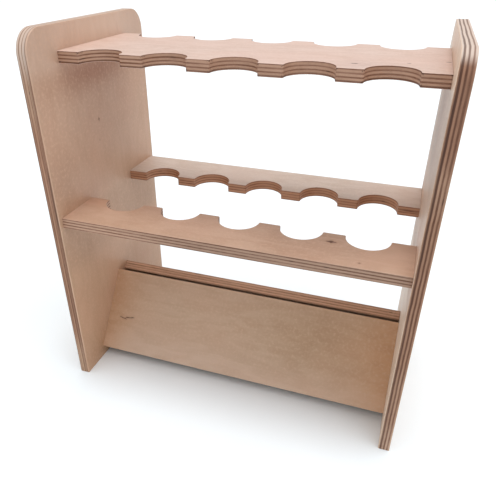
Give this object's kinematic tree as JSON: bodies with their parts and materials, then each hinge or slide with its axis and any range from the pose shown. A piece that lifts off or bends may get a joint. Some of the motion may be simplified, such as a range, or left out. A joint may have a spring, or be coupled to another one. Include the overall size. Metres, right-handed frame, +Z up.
{
  "type": "notched bottle and tool rack",
  "caption": "Free-standing plywood rack with rounded side panels, a notched top shelf, two facing notched middle shelves and a pair of sloping base boards.",
  "frame": {"origin": "on the floor, under the middle of the rack", "axes": "+X along the shelves to the rack's right, +Y from front to rear, +Z up"},
  "size_m": [0.33, 0.188, 0.346],
  "materials": {
    "birch_side_panel": "birch plywood, light face veneers, banded edge, unfinished satin",
    "birch_top_shelf": "birch plywood, pale pinkish face, banded edge, unfinished satin",
    "birch_middle_shelf": "birch plywood, warm face with small knots, banded edge, unfinished satin",
    "birch_base_board": "birch plywood, darker tan face, banded edge, unfinished satin",
    "zinc_screw": "bright zinc plate"
  },
  "bodies": {
    "root": {"side_panel_left": "birch_side_panel", "side_panel_right": "birch_side_panel", "top_shelf": "birch_top_shelf", "middle_shelf_front": "birch_middle_shelf", "middle_shelf_rear": "birch_middle_shelf", "base_board_front": "birch_base_board", "base_board_rear": "birch_base_board", "screw_top_shelf_front_left": "zinc_screw", "screw_top_shelf_front_right": "zinc_screw", "screw_top_shelf_rear_left": "zinc_screw", "screw_top_shelf_rear_right": "zinc_screw", "screw_middle_shelf_front_inner_left": "zinc_screw", "screw_middle_shelf_front_inner_right": "zinc_screw", "screw_middle_shelf_front_outer_left": "zinc_screw", "screw_middle_shelf_front_outer_right": "zinc_screw", "screw_middle_shelf_rear_inner_left": "zinc_screw", "screw_middle_shelf_rear_inner_right": "zinc_screw", "screw_middle_shelf_rear_outer_left": "zinc_screw", "screw_middle_shelf_rear_outer_right": "zinc_screw", "screw_base_board_front_upper_left": "zinc_screw", "screw_base_board_front_upper_right": "zinc_screw", "screw_base_board_front_lower_left": "zinc_screw", "screw_base_board_front_lower_right": "zinc_screw", "screw_base_board_rear_upper_left": "zinc_screw", "screw_base_board_rear_upper_right": "zinc_screw", "screw_base_board_rear_lower_left": "zinc_screw", "screw_base_board_rear_lower_right": "zinc_screw"}
  },
  "joints": []
}
